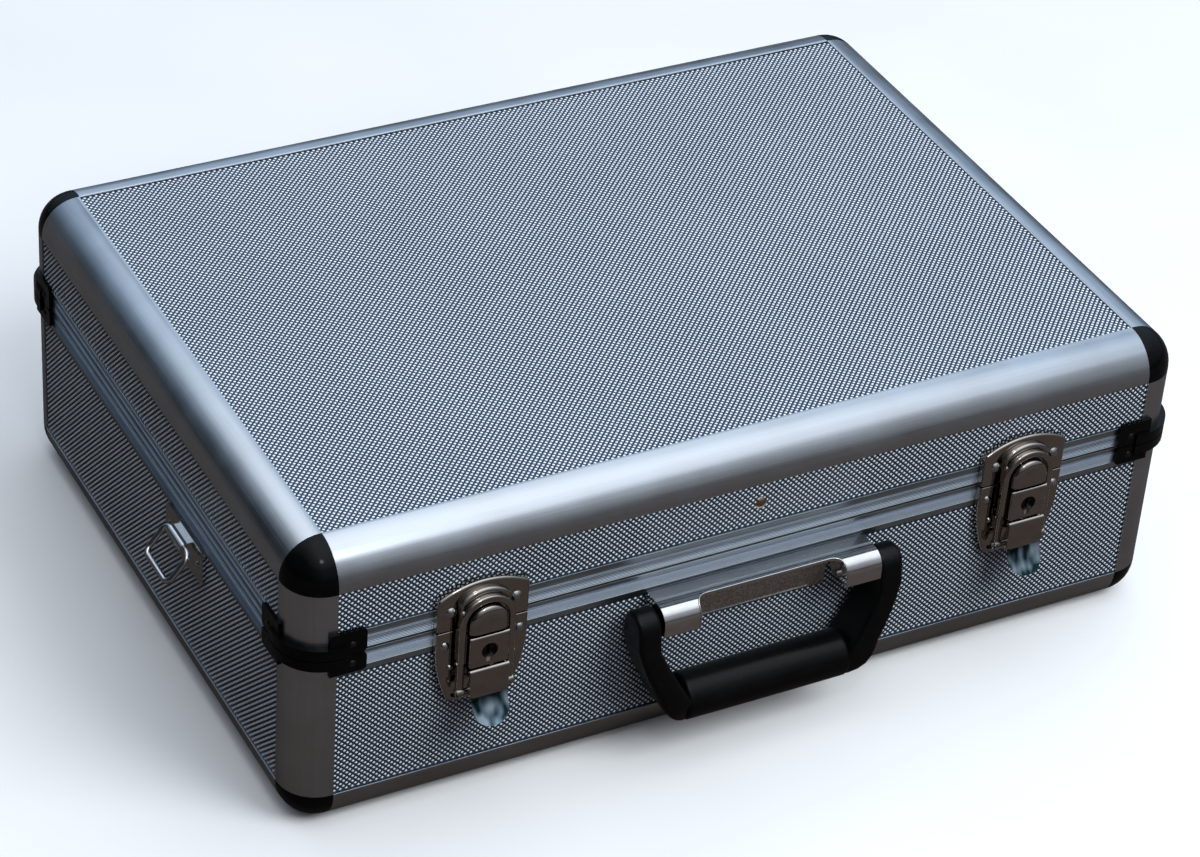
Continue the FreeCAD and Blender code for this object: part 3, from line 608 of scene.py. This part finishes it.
def lathe_x(profile, centre, verts, faces, steps):
    """Turns (x, radius) points about a line along X through centre = (off, z)."""
    rings = []
    for x, radius in profile:
        ring = []
        for k in range(steps):
            angle = 2 * math.pi * k / steps
            off, z = centre[0] + radius * math.cos(angle), centre[1] + radius * math.sin(angle)
            ring.append(on_front(x, z, off))
        rings.append(ring)
    skin(rings, verts, faces)


def grip_profile(steps=80):
    """A bar with a shallow swell in the middle and its ends eased."""
    half, radius = GRIP_HALF, GRIP[2]
    depth, length = GRIP_EASE
    points = []
    for k in range(steps + 1):
        x = -half + 2 * half * k / steps
        swell = GRIP_SWELL * (1 - (x / half) ** 2)
        end = half - abs(x)
        soft = depth * max(0.0, 1 - end / length) ** 2
        points.append((x, radius - GRIP_SWELL + swell - soft))
    return points


def handle():
    """The folding handle: two arms, each with a small collar at its pivot, and a round grip."""
    verts, faces = [], []
    face_x, r = PIVOT_SPOT
    for sign in (-1, 1):
        skin(arm_rings(sign), verts, faces)
        collar = [(0.6, 0.5), (0.05, 0.2), (0.05, 0.0), (0.5, 0.0)]
        profile = [(sign * (face_x - inset), r + more) for inset, more in collar]
        lathe_x(profile, BOSS[:2], verts, faces, 28)
    arms = mesh_object("handle_arms", verts, faces, SATIN, True)
    face_outwards(arms)
    verts, faces = [], []
    lathe_x(grip_profile(), GRIP[:2], verts, faces, 72)
    grip = mesh_object("handle_round_grip", verts, faces, SATIN, True)
    face_outwards(grip)
    for ob in (arms, grip):
        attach(ob, "handle")
    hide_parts("handle_grip")


# ---- pressed fittings ----
def pressed(name, verts, faces, mat, body, turn=38.0):
    """A smooth metal piece with its edges kept sharp where they turn by more than so many degrees."""
    ob = mesh_object(name, verts, faces, mat, True)
    face_outwards(ob)
    ob.data.set_sharp_from_angle(angle=math.radians(turn))
    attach(ob, body)
    return ob


def tube(path, radius, verts, faces, sides=10):
    """A round bead along a line of points; no stretch of it may run along askew."""
    askew = Vector((0.31, 0.17, 0.93))
    rings = []
    for k, point in enumerate(path):
        ahead = path[min(k + 1, len(path) - 1)] - path[max(k - 1, 0)]
        across = ahead.cross(askew).normalized()
        up = ahead.cross(across).normalized()
        turns = [2 * math.pi * i / sides for i in range(sides)]
        rings.append([point + radius * (math.cos(t) * across + math.sin(t) * up) for t in turns])
    skin(rings, verts, faces)


def tab_places(rows, cols):
    """Rows of (across, height, off the wall) over the tab's front, from the plate to the tip."""
    z, proud = TAB_START
    start, gain = TAB_ANGLE
    rise, spread = TAB_CURL
    length = TAB_LENGTH
    front = []
    for k in range(rows + 1):
        s = length * k / rows
        bend = math.radians(start + gain * s / length)
        if k:
            z -= length / rows * math.cos(bend)
            proud += length / rows * math.sin(bend)
        past = max(0.0, (s - 0.3 * length) / (0.7 * length))
        half = max(TAB_HALF * (1 - past**2.6) ** 0.5, TAB_TIP_HALF)
        row = []
        for i in range(cols + 1):
            u = half * (2 * i / cols - 1)
            row.append((u, z, proud + rise * (u / spread) ** 2))
        front.append(row)
    return front


def lever_tab(x, verts, faces, rows=26, cols=14):
    """The spoon-shaped finger tab, curling out from under the lever's plate."""
    front = tab_places(rows, cols)
    drop, thick = TAB_BACK
    first = len(verts)
    for row in front:
        verts += [tuple(on_front(x + u, z, p)) for u, z, p in row]
    for row in front:
        verts += [tuple(on_front(x + u, z - drop, p - thick)) for u, z, p in row]
    wide, count = cols + 1, (rows + 1) * (cols + 1)
    for k in range(rows):
        for i in range(cols):
            a = first + k * wide + i
            faces.append((a, a + 1, a + wide + 1, a + wide))
            faces.append((a + count, a + wide + count, a + wide + 1 + count, a + 1 + count))
    edge = list(range(wide)) + [k * wide + cols for k in range(1, rows + 1)]
    edge += [rows * wide + i for i in reversed(range(cols))]
    edge += [k * wide for k in reversed(range(1, rows))]
    for k, here in enumerate(edge):
        there = edge[(k + 1) % len(edge)]
        faces.append((first + here, first + there, first + there + count, first + here + count))


def latch_lever(hand, x):
    """The CAD lever cut off below its plate and cheeks, and the curled tab in its place."""
    node = hand + "_latch_lever"
    bm = bmesh.new()
    bm.from_mesh(NODES[node].data)
    bmesh.ops.remove_doubles(bm, verts=bm.verts, dist=0.000005)
    everything = bm.verts[:] + bm.edges[:] + bm.faces[:]
    spot, down = on_front(x, *LEVER_CUT), (0, 0, -1)
    bmesh.ops.bisect_plane(bm, geom=everything, plane_co=spot, plane_no=down, clear_outer=True)
    bmesh.ops.holes_fill(bm, edges=[e for e in bm.edges if e.is_boundary])
    verts = [tuple(v.co) for v in bm.verts]
    faces = [tuple(v.index for v in f.verts) for f in bm.faces]
    bm.free()
    ob = pressed(hand + "_lever_plate", verts, faces, LATCH, hand + "_lever")
    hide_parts(node)
    verts, faces = [], []
    lever_tab(x, verts, faces)
    pressed(hand + "_lever_tab", verts, faces, TAB, hand + "_lever", 60)


def hook_dome(hand, x, layers=12, turns=24):
    """The pillow-shaped head of the hook, over the flat pressing."""
    skirt, foot, height = DOME_PROUD
    rings = []
    for k in range(-1, layers + 1):
        slope = max(k, 0) / layers * math.pi / 2
        inset = DOME_ROUND * (1 - math.cos(slope))
        proud = foot + height * math.sin(slope) if k >= 0 else skirt
        reach = DOME_HALF - inset
        ring = [on_front(x + reach, DOME_FLOOR, proud)]
        for i in range(turns + 1):
            turn = math.pi * i / turns
            z = DOME_CENTRE + reach * math.sin(turn)
            ring.append(on_front(x + reach * math.cos(turn), z, proud))
        ring.append(on_front(x - reach, DOME_FLOOR, proud))
        rings.append(ring)
    verts, faces = [], []
    skin(rings, verts, faces)
    pressed(hand + "_hook_dome", verts, faces, LATCH, "lid")


def latch_lips(hand, x):
    """The bright turned lip along the top of the base's latch plate, on both sides of the hook."""
    verts, faces = [], []
    for sign in (-1, 1):
        path = [on_front(x + sign * u, *LIP_AT) for u in LIP_X]
        tube(path, LIP_RADIUS, verts, faces)
    pressed(hand + "_plate_lip", verts, faces, LATCH, "base", 60)


def bracket_edges(steps=8):
    """Rolled edge round the hood's notch and the raised lip of the plate behind it."""
    side = [(HOOD_HALF, HOOD_FOOT, HOOD_OUT), (HOOD_HALF, HOOD_TOP - HOOD_BEND, HOOD_OUT)]
    bend_out = HOOD_OUT - HOOD_BEND
    bend_up = HOOD_TOP - HOOD_BEND
    quarter = [math.pi / 2 * k / steps for k in range(1, steps + 1)]
    for a in quarter:
        z, off = bend_up + HOOD_BEND * math.sin(a), bend_out + HOOD_BEND * math.cos(a)
        if off > NOTCH_DEPTH + NOTCH_TURN:
            side.append((HOOD_HALF, z, off))
    for a in quarter:
        off = NOTCH_DEPTH + NOTCH_TURN - NOTCH_TURN * math.sin(a)
        past = max(off - bend_out, 0.0)
        z = bend_up + math.sqrt(HOOD_BEND**2 - past**2)
        side.append((HOOD_HALF - NOTCH_TURN + NOTCH_TURN * math.cos(a), z, off))
    path = [on_front(*p) for p in side] + [on_front(-x, z, off) for x, z, off in reversed(side)]
    verts, faces = [], []
    tube(path, ROLL_RADIUS, verts, faces)
    lip = [(-x, z) for x, z in PLATE_LIP] + list(reversed(PLATE_LIP))
    tube([on_front(x, z, PLATE_LIP_PROUD) for x, z in lip], PLATE_LIP_RADIUS, verts, faces)
    pressed("bracket_rolled_edge", verts, faces, FITTING, "base", 60)


def fittings():
    for hand, x in (("left", -LATCH_X), ("right", LATCH_X)):
        latch_lever(hand, x)
        hook_dome(hand, x)
        latch_lips(hand, x)
    bracket_edges()


# ---- linings ----
def lining_pad(name, low, high, axis, side, body, node):
    """A thin padded board: crowned cells between sewn lines, edges rolled under."""
    u, v = [k for k in range(3) if k != axis]
    size = (high[u] - low[u], high[v] - low[v])
    cells = [max(1, round(s / QUILT_CELL)) for s in size]
    steps = [min(c * QUILT_STEPS, QUILT_MOST_STEPS) for c in cells]
    flat_level, roll_level, crown_level = QUILT_LEVELS
    thick = high[axis] - low[axis]
    back = low[axis] if side > 0 else high[axis]
    verts = []
    for j in range(steps[1] + 1):
        for i in range(steps[0] + 1):
            a, b = i / steps[0], j / steps[1]
            wave = abs(math.sin(math.pi * a * cells[0])) * abs(math.sin(math.pi * b * cells[1]))
            edge = min(a * size[0], (1 - a) * size[0], b * size[1], (1 - b) * size[1])
            roll = math.sqrt(max(0.0, 1 - (1 - min(edge / QUILT_ROLL, 1)) ** 2))
            crown = roll * wave**QUILT_CROWN
            depth = thick * (flat_level + roll_level * roll + crown_level * crown)
            point = [0.0, 0.0, 0.0]
            point[u], point[v] = low[u] + a * size[0], low[v] + b * size[1]
            point[axis] = back + side * depth
            verts.append(tuple(point))
    row, rows = steps[0] + 1, steps[1] + 1
    faces = []
    for j in range(steps[1]):
        for i in range(steps[0]):
            a = j * row + i
            faces.append((a, a + 1, a + row + 1, a + row))
    rim = list(range(row)) + [j * row + row - 1 for j in range(1, rows)]
    rim += [(rows - 1) * row + i for i in reversed(range(row - 1))]
    rim += [j * row for j in range(rows - 2, 0, -1)]
    first = len(verts)
    for k in rim:
        point = list(verts[k])
        point[axis] = back
        verts.append(tuple(point))
    n = len(rim)
    faces += [(rim[k], rim[(k + 1) % n], first + (k + 1) % n, first + k) for k in range(n)]
    faces.append(tuple(first + k for k in range(n)))
    ob = mesh_object(name, verts, faces, NAP, True)
    face_outwards(ob)
    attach(ob, body)
    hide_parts(node)


def linings():
    for body, node, side in (("base", "base_floor_lining", 1), ("lid", "lid_roof_lining", -1)):
        low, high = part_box(node)
        lining_pad(node.replace("lining", "pad"), low, high, 2, side, body, node)
    for body in ("base", "lid"):
        node = body + "_wall_linings"
        low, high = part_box(node)
        x0, x1 = low.x + CORNER_GAP, high.x - CORNER_GAP
        y0, y1 = low.y + CORNER_GAP, high.y - CORNER_GAP
        spans = {
            "front": (1, 1, (x0, low.y), (x1, low.y + PAD_THICK)),
            "back": (1, -1, (x0, high.y - PAD_THICK), (x1, high.y)),
            "left": (0, 1, (low.x, y0), (low.x + PAD_THICK, y1)),
            "right": (0, -1, (high.x - PAD_THICK, y0), (high.x, y1)),
        }
        for word, (axis, side, a, b) in spans.items():
            corner_a = Vector((*a, low.z + PAD_GAP))
            corner_b = Vector((*b, high.z - PAD_GAP))
            lining_pad(f"{body}_{word}_pad", corner_a, corner_b, axis, side, body, node)


# ---- carried-over CAD nodes ----
BEVELS = {"rim_rails": 0.00025, "edge_extrusions": 0.00025}


def soften(ob, width):
    """Rounds the sharp edges of an extrusion a little, so that they catch the light."""
    weld = ob.modifiers.new("weld", "WELD")
    weld.merge_threshold = 0.000005
    bevel = ob.modifiers.new("bevel", "BEVEL")
    bevel.width = width
    bevel.segments = 3
    bevel.limit_method = "ANGLE"
    bevel.angle_limit = math.radians(38)
    bevel.harden_normals = True


def dress_nodes():
    """Gives each CAD piece its finish, and the BEVELS ones their softened edges."""
    slots = record_slots()
    for name, ob in NODES.items():
        mat = OWN_FINISH.get(name, FINISH[slots[name]])
        for place in ob.material_slots:
            place.material = mat
        if not ob.material_slots:
            ob.data.materials.append(mat)
        for word, width in BEVELS.items():
            if name.endswith(word):
                soften(ob, width)


# ---- stage ----
FLOOR_HALF = 8.0
# The floor's colour for every ray but the camera's: a painted dark brown reflection, which also
# darkens bounce light.
PAINTED_REFLECTION_BROWN = (0.064, 0.048, 0.040)


def camera():
    data = bpy.data.cameras.new("camera")
    data.lens = LENS_MM
    data.sensor_width = 36.0
    data.clip_end = 50.0
    cam = bpy.data.objects.new("camera", data)
    bpy.context.scene.collection.objects.link(cam)
    right = CAMERA_RIGHT.normalized()
    back = right.cross(CAMERA_UP).normalized()
    up = back.cross(right)
    turn = Matrix((right, up, back)).transposed().to_4x4()
    cam.matrix_world = Matrix.Translation(CAMERA_AT) @ turn
    bpy.context.scene.camera = cam


def floor():
    """Pale to the camera, dark brown to every other ray, to match the photo's reflections."""
    p = Paint("pale_floor", Roughness=0.9)
    seen = p.ramp(p.noise(6, 2), [(0.3, (0.80, 0.79, 0.78)), (0.7, (0.84, 0.83, 0.82))])
    ray = p.add("ShaderNodeLightPath").outputs["Is Camera Ray"]
    p.colour(p.blend((*PAINTED_REFLECTION_BROWN, 1), seen, ray))
    s = FLOOR_HALF
    corners = [(-s, -s, 0), (s, -s, 0), (s, s, 0), (-s, s, 0)]
    ob = mesh_object("floor", corners, [(0, 1, 2, 3)], p.mat)


# The dome's colours by level, 0 straight down and 1 straight up.
NEAR_SKY = [
    (0.00, (0.05, 0.04, 0.03)),
    (0.50, (0.02, 0.025, 0.04)),
    (0.54, (0.12, 0.13, 0.15)),
    (0.64, (0.27, 0.275, 0.29)),
    (0.78, (0.43, 0.46, 0.52)),
    (0.87, (1.08, 1.16, 1.28)),
    (1.00, (1.80, 1.91, 2.06)),
]
FAR_SKY = [
    (0.00, (0.05, 0.04, 0.03)),
    (0.50, (0.04, 0.06, 0.09)),
    (0.58, (0.19, 0.27, 0.37)),
    (0.70, (0.40, 0.54, 0.73)),
    (0.79, (0.70, 0.88, 1.12)),
    (0.90, (1.14, 1.27, 1.43)),
    (1.00, (1.80, 1.91, 2.06)),
]


def sky_ramp(tree, level, stops):
    ramp = tree.nodes.new("ShaderNodeValToRGB")
    set_stops(ramp.color_ramp, stops)
    tree.links.new(level, ramp.inputs["Fac"])
    return ramp.outputs["Color"]


def share_of(tree, source, start, stop, least=0.0):
    """Runs from least to 1 as source runs from start to stop."""
    node = tree.nodes.new("ShaderNodeMapRange")
    node.inputs["From Min"].default_value = start
    node.inputs["From Max"].default_value = stop
    node.inputs["To Min"].default_value = least
    tree.links.new(source, node.inputs["Value"])
    return node.outputs["Result"]


def studio():
    """A soft dome: brightest overhead, cooler behind the case, dimmed towards the left."""
    world = bpy.data.worlds.new("studio")
    bpy.context.scene.world = world
    world.use_nodes = True
    tree = world.node_tree
    background = tree.nodes["Background"]
    coords = tree.nodes.new("ShaderNodeTexCoord")
    split = tree.nodes.new("ShaderNodeSeparateXYZ")
    tree.links.new(coords.outputs["Generated"], split.inputs[0])
    level = share_of(tree, split.outputs["Z"], -1.0, 1.0)
    behind = share_of(tree, split.outputs["Y"], -0.45, 0.25)
    right = share_of(tree, split.outputs["X"], -0.75, -0.12, 0.06)
    mix = tree.nodes.new("ShaderNodeMix")
    mix.data_type = "RGBA"
    tree.links.new(behind, mix.inputs[0])
    tree.links.new(sky_ramp(tree, level, NEAR_SKY), mix.inputs[6])
    tree.links.new(sky_ramp(tree, level, FAR_SKY), mix.inputs[7])
    dim = tree.nodes.new("ShaderNodeMix")
    dim.data_type = "RGBA"
    dim.blend_type = "MULTIPLY"
    dim.inputs[0].default_value = 1.0
    tree.links.new(mix.outputs[2], dim.inputs[6])
    tree.links.new(right, dim.inputs[7])
    tree.links.new(dim.outputs[2], background.inputs["Color"])
    bpy.context.scene.view_settings.view_transform = "Standard"


def lamp(name, at, size, energy, in_mirrors):
    """A round lamp turned to the case's middle."""
    data = bpy.data.lights.new(name, "AREA")
    data.shape = "DISK"
    data.size = size
    data.energy = energy
    data.color = (0.90, 0.96, 1.0)
    ob = bpy.data.objects.new(name, data)
    bpy.context.scene.collection.objects.link(ob)
    ob.location = at
    ob.visible_glossy = in_mirrors
    aim = Vector((0, 0, 0.08)) - Vector(at)
    ob.rotation_euler = aim.to_track_quat("-Z", "Y").to_euler()


def lamps():
    """A large soft lamp for the front, hidden from reflections, and a small one for glints."""
    lamp("softbox", (0.75, -1.35, 1.60), 1.2, 30.0, False)
    lamp("glint", (-0.45, -1.15, 1.75), 0.32, 2.6, True)


camera()
floor()
studio()
lamps()
panels()
handle()
fittings()
linings()
dress_nodes()
